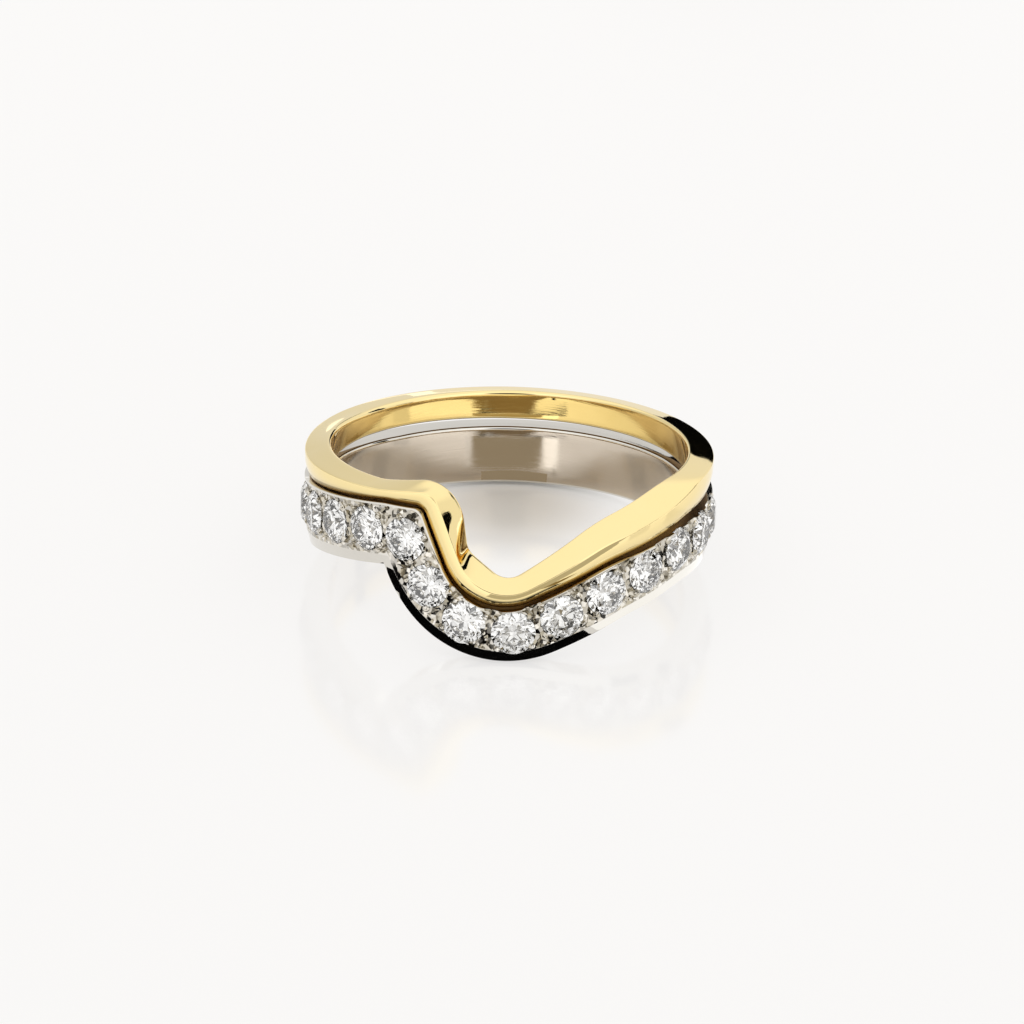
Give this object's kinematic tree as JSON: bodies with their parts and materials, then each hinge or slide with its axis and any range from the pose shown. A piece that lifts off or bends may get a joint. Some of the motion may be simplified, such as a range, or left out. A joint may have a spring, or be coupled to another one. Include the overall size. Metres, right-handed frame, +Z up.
{
  "type": "wedding ring",
  "caption": "Wave-fronted ring: a plain yellow gold band nested on a white gold band set with a row of round diamonds.",
  "frame": {"origin": "on the surface that the ring lies on, under the middle of its box", "axes": "+Z up from the surface, -Y towards the dip at the ring's front, +X towards the end of the slow rise"},
  "size_m": [0.0198, 0.0204, 0.0081],
  "materials": {
    "yellow_gold": "polished 18 ct yellow gold",
    "white_gold": "polished 18 ct white gold, satin in the bore",
    "diamond": "polished brilliant cut"
  },
  "bodies": {
    "root": {"gold_band": "yellow_gold", "diamond_band": "white_gold", "stone_01": "diamond", "stone_02": "diamond", "stone_03": "diamond", "stone_04": "diamond", "stone_05": "diamond", "stone_06": "diamond", "stone_07": "diamond", "stone_08": "diamond", "stone_09": "diamond", "stone_10": "diamond", "stone_11": "diamond", "stone_12": "diamond", "stone_13": "diamond", "stone_14": "diamond"}
  },
  "joints": []
}
